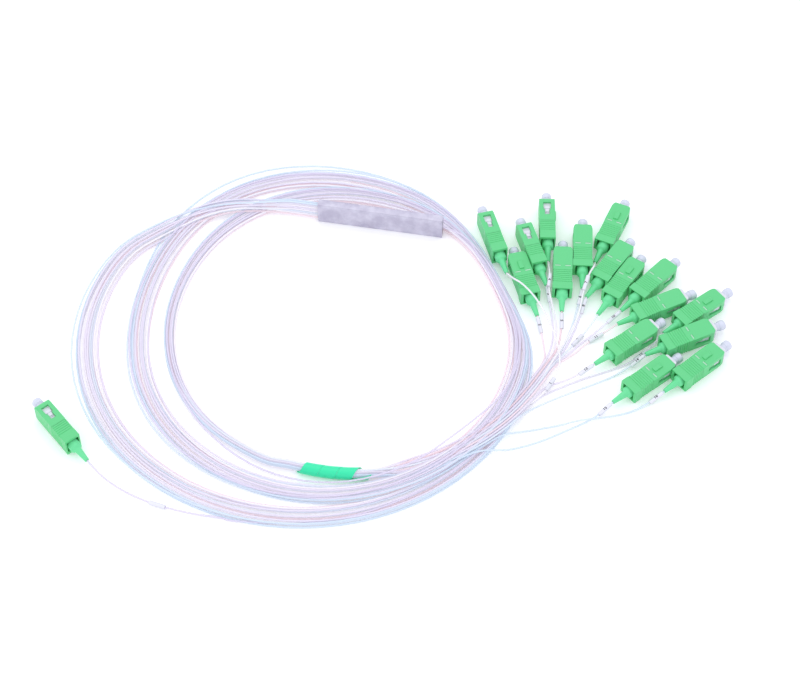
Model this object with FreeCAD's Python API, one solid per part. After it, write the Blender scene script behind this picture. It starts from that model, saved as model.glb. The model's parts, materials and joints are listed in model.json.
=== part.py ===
import FreeCAD, Part
import math
import os

V = FreeCAD.Vector
X = V(1, 0, 0)
Y = V(0, 1, 0)
Z = V(0, 0, 1)
ORIGIN = V(0, 0, 0)

# Small round pieces have this many flat sides, and the fibre's tubes have fewer.
ROUND_SIDES = 12
TUBE_SIDES = 6

# Splitter module: a drawn steel tube standing on its narrow long edge, centred on the origin.
MODULE_LENGTH = 60.0
MODULE_HEIGHT = 12.0
MODULE_DEPTH = 4.0
MODULE_WALL = 0.4
MODULE_CORNER = 0.5
SEAL_LENGTH = 5.0
CHIP_LENGTH = 24.0
CHIP_HEIGHT = 6.0
CHIP_DEPTH = 2.5
FIBRE_BLOCK_LENGTH = 7.0

# Fibre: every lead is a loose tube of this diameter; the ribbon is two columns of tubes.
FIBRE = 0.9
RIBBON_ROWS = 8
RIBBON_COLUMNS = 2
RIBBON_ROW_PITCH = 1.3
RIBBON_COLUMN_PITCH = 1.05
RIBBON_RUN = 14.0

# Connector, along its own axis: zero is the front face of the white plug frame, + is forward.
FRAME_LENGTH = 19.0
FRAME_WIDTH = 6.6
FRAME_THICKNESS = 6.0
FRAME_CHAMFER = 0.6
FRAME_RECESS_BORE = 4.9
FRAME_RECESS_DEPTH = 3.6
FRAME_SEPTUM = 1.4
EAR_PROUD = 0.5
EAR_WIDTH = 1.8
EAR_FRONT = 6.2
EAR_LENGTH = 1.8

GRIP_LENGTH = 25.0
GRIP_WIDTH = 9.0
GRIP_THICKNESS = 7.4
GRIP_CORNER_RUN = 2.6
GRIP_CORNER_DROP = 1.0
GRIP_WAIST = 0.1
GRIP_FLARE = 0.15
GRIP_FLARE_LENGTH = 4.5
GRIP_FRAME_CLEARANCE = 0.05
GRIP_TRAVEL = 1.8
GRIP_FORWARD = 0.3
GRIP_BACK = GRIP_FORWARD - GRIP_TRAVEL
KEY_WIDTH = 2.2
KEY_LENGTH = 5.0
KEY_START = 5.0
KEY_HEIGHT = 0.6
KEY_RAMP = 1.0
DASH_LENGTH = 2.5
DASH_WIDTH = 0.8
DASH_OFFSET = 2.4
DASH_PLACE = 11.4
WINDOW_START = 2.8
WINDOW_WIDE = 3.6
WINDOW_WIDE_LENGTH = 4.4
WINDOW_NARROW = 2.4
WINDOW_NARROW_LENGTH = 3.2
RIB_COUNT = 7
RIB_PITCH = 1.15
RIB_START = 14.0
RIB_DEPTH = 0.25
RIB_OPENING = 0.5

FERRULE_DIAMETER = 2.5
FERRULE_PROUD = 3.8
FERRULE_FLANGE = 4.2
FERRULE_FLANGE_LENGTH = 1.9
FERRULE_CLEARANCE = 0.05
FERRULE_TIP_ANGLE = 8.0
CHAMBER_CLEARANCE = 0.1
SPRING_LENGTH = 7.4
SPRING_WIRE = 0.6
STOP_NECK = 3.4
STOP_NECK_LENGTH = 5.0
STOP_CLEARANCE = 0.03

CAP_NECK = 4.0
CAP_HEAD = 4.7
CAP_HEAD_LENGTH = 3.2
CAP_STANDOFF = 2.4
CAP_INSERTION = 2.5
CAP_EDGE = 0.6
CAP_CLEARANCE = 0.02
CAP_TIP_GAP = 0.4

BOOT_COLLAR = 5.6
BOOT_COLLAR_LENGTH = 8.9
BOOT_SHOULDER = 1.2
BOOT_NECK = 3.3
BOOT_TIP = 2.2
BOOT_LENGTH = 16.3
BOOT_START = 0.3

TAG_LENGTH = 7.5
TAG_DIAMETER = 1.9
TAG_BORE = 1.4
TAG_BOOT_GAP = 1.0

# Where each connector lies: grip front x and y, heading in degrees, side up, grip pulled back,
# and which run of its fibre carries the tag, counted from the boot.
NARROW_UP = "narrow side up"
KEY_UP = "key up"
KEY_DOWN = "key down"
PLUGS = {
    "01": (48.5, 10.9, 115.3, NARROW_UP, False, 9),
    "02": (66.7, -10.6, 113.9, KEY_UP, False, 1),
    "03": (67.6, 6.8, 115.7, NARROW_UP, False, 1),
    "04": (76.5, 24.2, 98.7, NARROW_UP, False, 2),
    "05": (88.0, -3.7, 96.5, KEY_DOWN, False, 1),
    "06": (95.5, 11.4, 96.8, KEY_DOWN, False, 1),
    "07": (112.6, 27.5, 75.6, KEY_UP, False, 4),
    "08": (117.2, 3.6, 65.3, KEY_DOWN, False, 1),
    "09": (123.4, -5.1, 65.6, KEY_UP, False, 3),
    "10": (138.9, -4.4, 56.1, KEY_DOWN, False, 1),
    "11": (145.9, -22.3, 35.5, KEY_DOWN, True, 2),
    "12": (134.1, -42.0, 46.3, KEY_DOWN, True, 1),
    "13": (162.9, -18.6, 46.6, KEY_UP, True, 2),
    "14": (160.5, -37.8, 35.0, KEY_DOWN, True, 1),
    "15": (143.7, -60.4, 48.3, KEY_UP, True, 1),
    "16": (164.9, -49.7, 50.1, KEY_UP, True, 1),
    "in": (-128.5, -133.9, 139.0, NARROW_UP, False, 5),
}

# Coil of fibre: three laps that lie apart on the left and run together on the right.
# Each lap is centre x, centre y, half width, half height and the height of its pile.
LAPS = [
    (-21.5, -72.0, 100.5, 97.0, 2.2),
    (-11.0, -69.5, 88.0, 86.0, 3.2),
    (-5.0, -66.0, 80.0, 78.0, 4.6),
]
LAP_WIDTH = 9.0
# The ribbon fans down on to the outer lap: x, y, heading, width, bottom and top of the stack.
RIBBON_RAMP = [
    (-44.0, 0.0, 180.0, 2.0, 0.9, 11.1),
    (-62.0, -1.0, 187.0, 5.0, 1.6, 7.4),
    (-80.0, -5.5, 204.0, 8.0, 1.2, 4.6),
    (-98.0, -18.0, 222.0, 9.0, 0.0, 3.2),
]
# The stem is where the sixteen outputs leave the coil together: end point, heading, width, pile.
STEM_ROOT = (73.5, -109.5)
STEM_END = (90.5, -67.0)
STEM_HEADING = 68.0
STEM_WIDTH = 7.0
STEM_HEIGHT = 3.3
PORT_PITCH = 0.62
PORT_LEVELS = [0.6, 1.65]
PORT_TOP_LEVEL = 2.7
PORT_ORDER = ["02", "03", "04", "05", "06", "08", "07", "09", "10", "11"]
COIL_PLUG_CLEARANCE = 0.4

# Spiral wrap: a helical strip of soft plastic round the inner lap, near the bottom of the coil.
WRAP_START = (-9.0, -145.4)
WRAP_END = (20.0, -139.6)
WRAP_DIAMETER = 5.8
WRAP_WALL = 0.5
WRAP_PITCH = 6.5
WRAP_GAP = 0.3
WRAP_CLEARANCE = 0.1
WRAP_CORE_OVERLAP = 5.0

# Free fibre, from the coil towards the plug; the last run ends at the boot's tip.
TAILS = {
    "01": [(82.5, -94, 2.2), (86.9, -89.6, 2.1), (90.4, -84.2, 2.0), (93.9, -75.4, 2.4), (95.2, -67.2, 3.4),
           (93.2, -59.2, 3.9), (90.4, -51.4, 3.4), (86.4, -43.8, 5.4), (79.6, -36.2, 8.8), (72.2, -30, 9.3),
           (67, -26.2, 7.4)],
    "02": [(87.3, -60.8, 0.5), (84.6, -51.6, 1.0)],
    "03": [(89.6, -59.6, 0.6), (90, -51.6, 0.5), (88.6, -44.2, 0.6), (86.2, -34.6, 2.0)],
    "04": [(91.5, -59, 0.5), (91.2, -50, 0.5), (90, -42.6, 0.8), (87.4, -36, 3.6), (84.3, -29, 6.6),
           (84.05, -18.8, 6.3)],
    "05": [(92.7, -59.2, 0.5), (93.4, -49, 1.4)],
    "06": [(94, -60.5, 0.5), (96.2, -52, 0.5), (97.9, -43.2, 0.6), (98.9, -33.8, 1.8)],
    "07": [(93.6, -62, 2.6), (95.7, -55.4, 2.4), (97.7, -47.8, 2.4), (99.4, -41.8, 2.7), (100.2, -35.6, 3.9),
           (100.4, -28.4, 6.7), (101.9, -19.2, 9.7), (103.85, -13.6, 9.35), (103.75, -9.9, 5.3)],
    "08": [(95.4, -60.6, 0.5), (98.4, -50, 0.5), (100.7, -39.2, 1.2)],
    "09": [(95.2, -62.6, 1.0), (99.1, -55.8, 1.0), (103.3, -48.4, 1.1), (106.4, -42.8, 2.2)],
    "10": [(98.2, -60.2, 0.5), (104.4, -51.2, 0.5), (112, -42.2, 1.3)],
    "11": [(99.8, -61.2, 0.6), (105.6, -52.8, 1.0), (113, -46.2, 1.8)],
    "12": [(84.5, -84, 0.5), (90, -80.4, 0.5), (97, -76.4, 0.5), (103.8, -72.4, 1.8)],
    "13": [(80, -94, 0.5), (85.6, -89, 0.5), (92, -83.4, 0.5), (100, -77.4, 0.5), (108.5, -71.8, 0.5),
           (117.5, -66.6, 0.5), (126.4, -60.8, 1.0), (134.6, -51, 1.3)],
    "14": [(77, -101, 0.5), (83.5, -95.4, 0.5), (92, -88.6, 0.5), (101.5, -81.8, 0.5), (110.5, -75.8, 0.5),
           (119, -70, 0.5), (126, -63.8, 1.4)],
    "15": [(68, -119.8, 0.5), (76.5, -118, 0.5), (85.5, -114.2, 0.5), (94.5, -108.6, 0.5), (102.8, -102.2, 0.5),
           (109.8, -97.2, 0.5), (115.2, -92.6, 1.2)],
    "16": [(74, -110, 0.5), (81.5, -107.2, 0.5), (90.5, -103.8, 0.5), (99.5, -100.2, 0.7), (108, -96.8, 2.1),
           (116.5, -94, 1.6), (124, -90.4, 0.6), (130.4, -87.2, 0.5), (136.6, -82.2, 1.2)],
    "in": [(-26, -171, 0.5), (-37, -173.4, 0.6), (-49, -174, 0.8), (-61, -173.2, 1.0), (-72.5, -171.2, 1.0),
           (-82.5, -168, 0.9), (-90.5, -164.6, 1.6), (-96.4, -161.2, 3.0)],
}
# The input lead, from the module's right end down into the coil.
INPUT_LEAD = [(30, 0, 6), (38, -1, 5.2), (46, -7, 3.8), (52, -14, 3.5)]


def box(x0, x1, y0, y1, z0, z1):
    return Part.makeBox(x1 - x0, y1 - y0, z1 - z0, V(x0, y0, z0))


def prism(points, z0, z1):
    corners = [V(x, y, z0) for x, y in points]
    face = Part.Face(Part.makePolygon(corners + corners[:1]))
    return face.extrude(V(0, 0, z1 - z0))


def turned(profile):
    """Solid turned about X from (x, radius) corners, with flat sides."""
    step = 2 * math.pi / ROUND_SIDES
    faces = []
    for side in range(ROUND_SIDES):
        rays = [V(0, math.cos(a), math.sin(a)) for a in (side * step, (side + 1) * step)]
        for (x0, r0), (x1, r1) in zip(profile, profile[1:] + profile[:1]):
            corners = [X * x0 + rays[0] * r0, X * x1 + rays[0] * r1]
            corners += [X * x + rays[1] * r for x, r in ((x1, r1), (x0, r0)) if r > 0]
            if len(corners) > 2:
                faces.append(Part.Face(Part.makePolygon(corners + corners[:1])))
    shell = Part.Shell(faces)
    shell.sewShape()
    solid = Part.Solid(shell).removeSplitter()
    return solid if solid.Volume > 0 else solid.reversed()


def mirrored(shape, normal):
    return shape.mirror(ORIGIN, normal)


def disc(x0, x1, diameter):
    return turned([(x0, 0), (x0, diameter / 2), (x1, diameter / 2), (x1, 0)])


def tube_section(start, along, diameter):
    """Outline across a tube that starts there and heads that way."""
    side = Z.cross(along).normalize()
    rise = along.cross(side).normalize()
    angles = [2 * math.pi * i / TUBE_SIDES for i in range(TUBE_SIDES)]
    corners = [start + (side * math.cos(a) + rise * math.sin(a)) * (diameter / 2) for a in angles]
    return Part.makePolygon(corners + corners[:1])


def straight_tube(start, run, diameter):
    return Part.Face(tube_section(start, run, diameter)).extrude(run)


def half_outline(points):
    """Closed outline from one side's points, mirrored about the X axis."""
    return points + [(x, -y) for x, y in reversed(points)]


# ---- one connector, in its own frame ----

def grip_outline():
    half = GRIP_WIDTH / 2
    waist = half - GRIP_WAIST
    rear = half + GRIP_FLARE
    flare_start = GRIP_LENGTH - GRIP_FLARE_LENGTH
    return half_outline([
        (0, half - GRIP_CORNER_DROP),
        (-GRIP_CORNER_RUN / 3, half - GRIP_CORNER_DROP / 3),
        (-GRIP_CORNER_RUN, half),
        (-DASH_PLACE, half),
        (-RIB_START, waist),
        (-flare_start, waist),
        (-flare_start - 1, rear),
        (-GRIP_LENGTH, rear),
    ])


def rib_grooves():
    """V grooves right round the grip; what stands between them are the ribs."""
    reach = GRIP_WIDTH / 2 + GRIP_FLARE + 1
    side = GRIP_WIDTH / 2 - GRIP_WAIST
    face = GRIP_THICKNESS / 2
    cutters = []
    for i in range(RIB_COUNT):
        x = -RIB_START - i * RIB_PITCH
        notch = [(x - RIB_OPENING / 2, 0), (x + RIB_OPENING / 2, 0), (x, -RIB_DEPTH)]
        top = Part.Face(Part.makePolygon([V(a, -reach, face + b) for a, b in notch + notch[:1]]))
        top = top.extrude(V(0, 2 * reach, 0))
        wall = Part.Face(Part.makePolygon([V(a, side + b, -reach) for a, b in notch + notch[:1]]))
        wall = wall.extrude(V(0, 0, 2 * reach))
        cutters += [top, mirrored(top, Z), wall, mirrored(wall, Y)]
    return cutters


def grip_windows():
    """T-shaped window through each narrow side, wide end forward."""
    outside = GRIP_WIDTH / 2 + GRIP_FLARE + 1
    split = -WINDOW_START - WINDOW_WIDE_LENGTH
    wide = box(split, -WINDOW_START, -outside, outside, -WINDOW_WIDE / 2, WINDOW_WIDE / 2)
    narrow = box(split - WINDOW_NARROW_LENGTH, split, -outside, outside,
                 -WINDOW_NARROW / 2, WINDOW_NARROW / 2)
    return [wide, narrow]


def grip_dashes():
    """Two slots across each wide side that let the white frame show as insertion marks."""
    reach = GRIP_THICKNESS / 2 + 1
    slot = box(-DASH_PLACE - DASH_WIDTH / 2, -DASH_PLACE + DASH_WIDTH / 2,
               DASH_OFFSET - DASH_LENGTH / 2, DASH_OFFSET + DASH_LENGTH / 2, -reach, reach)
    return [slot, mirrored(slot, Y)]


def grip_key():
    face = GRIP_THICKNESS / 2
    back = -KEY_START - KEY_LENGTH
    profile = [(-KEY_START, face - 0.2), (-KEY_START, face),
               (-KEY_START - KEY_RAMP, face + KEY_HEIGHT), (back, face + KEY_HEIGHT), (back, face - 0.2)]
    corners = [V(x, -KEY_WIDTH / 2, z) for x, z in profile]
    side = Part.Face(Part.makePolygon(corners + corners[:1]))
    return side.extrude(V(0, KEY_WIDTH, 0))


def grip():
    half = GRIP_THICKNESS / 2
    body = prism(grip_outline(), -half, half).fuse(grip_key())
    width = FRAME_WIDTH / 2 + GRIP_FRAME_CLEARANCE
    depth = FRAME_THICKNESS / 2 + GRIP_FRAME_CLEARANCE
    cavity = box(-GRIP_LENGTH - 1, 1, -width, width, -depth, depth)
    return body.cut([cavity] + rib_grooves() + grip_windows() + grip_dashes()).removeSplitter()


def plug_frame():
    """White inner frame: front recess for the cap, septum for the ferrule, chamber for the spring.

    Behind the chamber is the stop that the spring bears on, with the neck that carries the boot."""
    w = FRAME_WIDTH / 2
    t = FRAME_THICKNESS / 2
    outline = half_outline([(0, w - FRAME_CHAMFER), (-FRAME_CHAMFER, w), (-FRAME_LENGTH, w)])
    body = prism(outline, -t, t)
    ear = box(-EAR_FRONT - EAR_LENGTH, -EAR_FRONT, w - 0.1, w + EAR_PROUD, -EAR_WIDTH / 2, EAR_WIDTH / 2)
    neck = disc(-FRAME_LENGTH - STOP_NECK_LENGTH, -FRAME_LENGTH, STOP_NECK)
    recess = disc(-FRAME_RECESS_DEPTH, 1, FRAME_RECESS_BORE)
    throat = disc(-chamber_front() - 1, 0, FERRULE_DIAMETER + 2 * FERRULE_CLEARANCE)
    chamber = disc(-stop_front(), -chamber_front(), FERRULE_FLANGE + 2 * CHAMBER_CLEARANCE)
    bore = disc(-FRAME_LENGTH - STOP_NECK_LENGTH - 1, -chamber_front(), FIBRE)
    return body.fuse([ear, mirrored(ear, Y), neck]).cut([recess, throat, chamber, bore])


def chamber_front():
    return FRAME_RECESS_DEPTH + FRAME_SEPTUM


def stop_front():
    return chamber_front() + FERRULE_FLANGE_LENGTH + SPRING_LENGTH


def ferrule():
    """Ceramic ferrule with its metal flange; the tip is polished at an angle."""
    flange_back = -chamber_front() - FERRULE_FLANGE_LENGTH
    body = disc(flange_back, FERRULE_PROUD, FERRULE_DIAMETER)
    flange = disc(flange_back, -chamber_front(), FERRULE_FLANGE)
    rise = FERRULE_DIAMETER * math.tan(math.radians(FERRULE_TIP_ANGLE))
    edge = FERRULE_DIAMETER / 2
    wedge = Part.Face(Part.makePolygon([
        V(FERRULE_PROUD, -2, edge), V(FERRULE_PROUD + 1, -2, edge), V(FERRULE_PROUD + 1, -2, -edge - 1),
        V(FERRULE_PROUD - rise * (1 + 1 / FERRULE_DIAMETER), -2, -edge - 1), V(FERRULE_PROUD, -2, edge),
    ])).extrude(V(0, 4, 0))
    return body.fuse(flange).removeSplitter().cut(wedge)


def spring():
    """Flat helical spring behind the flange."""
    radius = (FERRULE_FLANGE - SPRING_WIRE) / 2
    back = -stop_front()
    ring = turned([
        (back, radius - SPRING_WIRE / 2), (back, radius + SPRING_WIRE / 2),
        (back + SPRING_LENGTH, radius + SPRING_WIRE / 2), (back + SPRING_LENGTH, radius - SPRING_WIRE / 2),
    ])
    return ring


def cap():
    """Dust cap: a blind sleeve pushed over the ferrule, with a round head to pull it by."""
    bore = FERRULE_DIAMETER / 2 + CAP_CLEARANCE
    end = CAP_STANDOFF + CAP_HEAD_LENGTH
    blind = FERRULE_PROUD + CAP_TIP_GAP
    return turned([
        (-CAP_INSERTION, bore), (-CAP_INSERTION, CAP_NECK / 2), (CAP_STANDOFF, CAP_NECK / 2),
        (CAP_STANDOFF, CAP_HEAD / 2), (end - CAP_EDGE, CAP_HEAD / 2), (end, CAP_HEAD / 2 - CAP_EDGE),
        (end, 0), (blind, 0), (blind, bore),
    ])


def boot():
    """Rubber boot: collar over the stop's neck, then a taper down to the fibre."""
    front = -FRAME_LENGTH - BOOT_START
    socket = -FRAME_LENGTH - STOP_NECK_LENGTH - STOP_CLEARANCE
    collar_back = front - BOOT_COLLAR_LENGTH
    neck = STOP_NECK / 2 + STOP_CLEARANCE
    return turned([
        (front, neck), (front, BOOT_COLLAR / 2), (collar_back, BOOT_COLLAR / 2),
        (collar_back - BOOT_SHOULDER, BOOT_NECK / 2), (boot_end(), BOOT_TIP / 2), (boot_end(), 0),
        (socket, 0), (socket, neck),
    ])


def boot_end():
    return -FRAME_LENGTH - BOOT_START - BOOT_LENGTH


def grip_place(plug):
    return GRIP_BACK if plug[4] else GRIP_FORWARD


def axis_height(plug):
    if plug[3] == NARROW_UP:
        return GRIP_WIDTH / 2 + GRIP_FLARE
    if plug[3] == KEY_DOWN:
        return GRIP_THICKNESS / 2 + KEY_HEIGHT
    return GRIP_THICKNESS / 2


def placed(shape, plug, forward=0.0):
    """Lay a connector piece where its plug lies, moved forward along its axis."""
    roll = {NARROW_UP: 90, KEY_UP: 0, KEY_DOWN: 180}[plug[3]]
    heading = math.radians(plug[2])
    shift = forward - grip_place(plug)
    base = V(plug[0] + shift * math.cos(heading), plug[1] + shift * math.sin(heading), axis_height(plug))
    turn = FreeCAD.Rotation(Z, plug[2]).multiply(FreeCAD.Rotation(X, roll))
    copy = shape.copy()
    copy.Placement = FreeCAD.Placement(base, turn)
    return copy


def boot_tip(plug):
    heading = math.radians(plug[2])
    reach = boot_end() - grip_place(plug)
    return V(plug[0] + reach * math.cos(heading), plug[1] + reach * math.sin(heading), axis_height(plug))


# ---- fibre ----

def bend_radius(before, corner, after):
    into = corner - before
    out = after - corner
    half_turn = into.getAngle(out) / 2
    return 0.45 * min(into.Length, out.Length) / math.tan(half_turn)


def route_wire(points):
    """Straight runs joined by tangent arcs as large as the runs allow."""
    edges = []
    here = points[0]
    for before, corner, after in zip(points, points[1:], points[2:]):
        into = (corner - before).normalize()
        out = (after - corner).normalize()
        cut = 0.45 * min((corner - before).Length, (after - corner).Length)
        radius = bend_radius(before, corner, after)
        inward = (out - into).normalize()
        half_turn = into.getAngle(out) / 2
        centre = corner + inward * (radius / math.cos(half_turn))
        start = corner - into * cut
        end = corner + out * cut
        middle = centre - inward * radius
        edges.append(Part.LineSegment(here, start).toShape())
        edges.append(Part.Arc(start, middle, end).toShape())
        here = end
    edges.append(Part.LineSegment(here, points[-1]).toShape())
    return Part.Wire(edges)


def tube(points):
    section = tube_section(points[0], points[1] - points[0], FIBRE)
    return route_wire(points).makePipeShell([section], True, False)


def check_route(name, points, solid):
    radii = [bend_radius(*three) for three in zip(points, points[1:], points[2:])]
    length = route_wire(points).Length
    section = TUBE_SIDES * math.sin(2 * math.pi / TUBE_SIDES) * FIBRE ** 2 / 8
    share = solid.Volume / (length * section)
    print(f"{name}: {length:.1f} mm, radii {[round(r, 1) for r in radii]}, volume share {share:.4f}")


def port(name):
    """Where an output leaves the stem's end face."""
    place = PORT_ORDER.index(name) - (len(PORT_ORDER) - 1) / 2
    heading = math.radians(STEM_HEADING)
    level = PORT_TOP_LEVEL if name == "07" else PORT_LEVELS[PORT_ORDER.index(name) % 2]
    side = V(math.sin(heading), -math.cos(heading), 0)
    return V(STEM_END[0], STEM_END[1], level) + side * (place * PORT_PITCH)


def tail_route(name):
    points = [V(*point) for point in TAILS[name]]
    if name in PORT_ORDER:
        points = [port(name)] + points
    return points + [boot_tip(PLUGS[name])]


def ribbon_fibres():
    """The sixteen outputs side by side as they leave the module's left end."""
    fibres = []
    for row in range(RIBBON_ROWS):
        z = MODULE_HEIGHT / 2 + (row - (RIBBON_ROWS - 1) / 2) * RIBBON_ROW_PITCH
        for column in range(RIBBON_COLUMNS):
            y = (column - (RIBBON_COLUMNS - 1) / 2) * RIBBON_COLUMN_PITCH
            start = V(-MODULE_LENGTH / 2, y, z)
            fibres.append(straight_tube(start, -X * RIBBON_RUN, FIBRE))
    return fibres


def upright_section(x, y, heading, width, bottom, top):
    """Upright rectangle across a bundle that heads the given way."""
    side = V(-math.sin(math.radians(heading)), math.cos(math.radians(heading)), 0) * (width / 2)
    centre = V(x, y, 0)
    low = Z * bottom
    high = Z * top
    corners = [centre - side + low, centre + side + low, centre + side + high, centre - side + high]
    return Part.makePolygon(corners + corners[:1])


def lap(centre_x, centre_y, half_width, half_height, pile):
    """One lap of the coil: an oval band as wide and as high as its pile of fibre."""
    ring = []
    for offset in (LAP_WIDTH / 2, -LAP_WIDTH / 2):
        oval = Part.Ellipse(V(centre_x, centre_y, 0), half_width + offset, half_height + offset)
        ring.append(Part.Face(Part.Wire(oval.toShape())))
    return ring[0].cut(ring[1]).extrude(Z * pile)


def stem():
    """The bundle that carries the outputs off the coil towards the plugs."""
    heading = math.radians(STEM_HEADING)
    side = V(-math.sin(heading), math.cos(heading), 0) * (STEM_WIDTH / 2)
    end = V(*STEM_END, 0)
    root = V(*STEM_ROOT, 0)
    corners = [root - side, end - side, end + side, root + side]
    return Part.Face(Part.makePolygon(corners + corners[:1])).extrude(Z * STEM_HEIGHT)


def wrap_axis():
    start = V(*WRAP_START, WRAP_DIAMETER / 2)
    end = V(*WRAP_END, WRAP_DIAMETER / 2)
    return start, end


def wrap_core():
    """Round bundle inside the spiral wrap."""
    start, end = wrap_axis()
    along = (end - start).normalize()
    reach = (end - start).Length + 2 * WRAP_CORE_OVERLAP
    radius = WRAP_DIAMETER / 2 - WRAP_WALL - WRAP_CLEARANCE
    return Part.makeCylinder(radius, reach, start - along * WRAP_CORE_OVERLAP, along)


def module_room():
    """The fibre lies clear of the module that stands beside it."""
    end = MODULE_LENGTH / 2 + COIL_PLUG_CLEARANCE
    face = MODULE_DEPTH / 2 + COIL_PLUG_CLEARANCE
    return box(-end, end, -face, face, -1, MODULE_HEIGHT)


def wrap_room():
    """The space that the wrap needs clear of the rest of the coil."""
    start, end = wrap_axis()
    along = (end - start).normalize()
    margin = along * COIL_PLUG_CLEARANCE
    reach = (end - start).Length + 2 * COIL_PLUG_CLEARANCE
    side = V(-along.y, along.x, 0)
    half = LAP_WIDTH / 2 + 1
    low = start - margin - side * half
    block = Part.makeBox(reach, 2 * half, WRAP_DIAMETER + 1)
    block.Placement = FreeCAD.Placement(V(low.x, low.y, -0.1), FreeCAD.Rotation(X, along))
    return block


def spiral_wrap():
    start, end = wrap_axis()
    length = (end - start).Length
    inner = WRAP_DIAMETER / 2 - WRAP_WALL
    helix = Part.makeHelix(WRAP_PITCH, length - WRAP_PITCH, inner + WRAP_WALL / 2)
    half = (WRAP_PITCH - WRAP_GAP) / 2
    corners = [V(inner, 0, -half), V(inner + WRAP_WALL, 0, -half), V(inner + WRAP_WALL, 0, half), V(inner, 0, half)]
    section = Part.makePolygon(corners + corners[:1])
    strip = Part.Wire(helix.Edges).makePipeShell([section], True, True)
    strip.translate(Z * (WRAP_PITCH / 2))
    strip.Placement = FreeCAD.Placement(start, FreeCAD.Rotation(Z, end - start)).multiply(strip.Placement)
    return strip


def plug_envelope(plug):
    """Room that one connector takes over its grip's whole travel."""
    half = GRIP_WIDTH / 2 + GRIP_FLARE + COIL_PLUG_CLEARANCE
    reach = GRIP_LENGTH - GRIP_BACK + COIL_PLUG_CLEARANCE
    room = box(-reach, GRIP_FORWARD, -half, half, -20, 20)
    collar = BOOT_COLLAR / 2 + COIL_PLUG_CLEARANCE
    room = room.fuse(box(boot_end() - COIL_PLUG_CLEARANCE, -reach, -collar, collar, -20, 20))
    flat = (plug[0], plug[1], plug[2], KEY_UP, plug[4])
    return placed(room, flat)


def fibre_coil():
    laps = [lap(*values) for values in LAPS]
    ramp = Part.makeLoft([upright_section(*place) for place in RIBBON_RAMP], True, True)
    pile = laps[0].fuse(laps[1:] + [stem()])
    pile = pile.cut([wrap_room(), module_room()] + [plug_envelope(PLUGS[name]) for name in ("01", "02")])
    return pile.fuse([ramp, wrap_core()]).removeSplitter()


# ---- splitter module ----

def module_section(inset):
    """Tube section in the YZ plane with rounded corners, as a solid over the module's length."""
    depth = MODULE_DEPTH - 2 * inset
    height = MODULE_HEIGHT - 2 * inset
    body = box(-MODULE_LENGTH / 2, MODULE_LENGTH / 2, -depth / 2, depth / 2, inset, inset + height)
    long_edges = [e for e in body.Edges if abs(e.tangentAt(e.FirstParameter).x) > 0.9]
    return body.makeFillet(MODULE_CORNER - inset if inset < MODULE_CORNER else 0.05, long_edges)


def splitter_tube():
    return module_section(0).cut(module_section(MODULE_WALL))


def optical_core():
    """Waveguide chip between two fibre blocks, and the resin plug that seals each end."""
    chip_end = CHIP_LENGTH / 2
    block_end = chip_end + FIBRE_BLOCK_LENGTH
    seal_start = MODULE_LENGTH / 2 - SEAL_LENGTH
    depth = CHIP_DEPTH / 2
    low = (MODULE_HEIGHT - CHIP_HEIGHT) / 2
    high = low + CHIP_HEIGHT
    chip = box(-chip_end, chip_end, -depth, depth, low, high)
    block = box(chip_end, block_end, -depth, depth, low, high)
    end_room = box(seal_start, MODULE_LENGTH, -MODULE_DEPTH, MODULE_DEPTH, 0, MODULE_HEIGHT)
    seal = module_section(MODULE_WALL).common(end_room)
    return [chip, block, mirrored(block, X), seal, mirrored(seal, X)]


def save(name, solids):
    shape = solids[0] if len(solids) == 1 else Part.makeCompound(solids)
    for solid in shape.Solids:
        if not solid.isValid():
            print(name, "holds a solid that is not valid")
    shape.exportStep(f"parts/{name}.step")
    return shape


def tag(points, run):
    """Numbered sleeve on a straight stretch: on the last run it sits close behind the boot."""
    near = points[-run]
    away = (points[-run - 1] - near).normalize()
    if run == 1:
        start = near + away * TAG_BOOT_GAP
    else:
        middle = (near + points[-run - 1]) * 0.5
        start = middle - away * (TAG_LENGTH / 2)
    run = away * TAG_LENGTH
    return straight_tube(start, run, TAG_DIAMETER).cut(straight_tube(start, run, TAG_BORE))


def input_lead():
    """The single input, from the module's right end into the coil."""
    return tube([V(*point) for point in INPUT_LEAD])


os.makedirs("parts", exist_ok=True)

save("splitter_tube", [splitter_tube()])
save("optical_core", optical_core())
coil = fibre_coil()
save("fibre_coil", [coil])
save("spiral_wrap", [spiral_wrap()])

one_grip = grip()
one_cap = cap()
one_ferrule = ferrule()
one_frame = plug_frame()
one_spring = spring()
one_boot = boot()
frames = []
springs = []
boots = []
tags = []
runs = ribbon_fibres() + [input_lead()]
for name, plug in PLUGS.items():
    save(f"grip_{name}", [placed(one_grip, plug, grip_place(plug))])
    save(f"cap_{name}", [placed(one_cap, plug)])
    save(f"ferrule_{name}", [placed(one_ferrule, plug)])
    frames.append(placed(one_frame, plug))
    springs.append(placed(one_spring, plug))
    boots.append(placed(one_boot, plug))
    route = tail_route(name)
    tail = tube(route)
    check_route(name, route, tail)
    runs.append(tail.cut([boots[-1], coil]))
    tags.append(tag(route, plug[5]))
save("plug_frames", frames)
save("ferrule_springs", springs)
save("boots", boots)
save("port_tags", tags)
save("fibre_runs", runs)
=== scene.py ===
import json
import math

import bmesh
import bpy
from mathutils import Matrix, Vector


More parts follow.
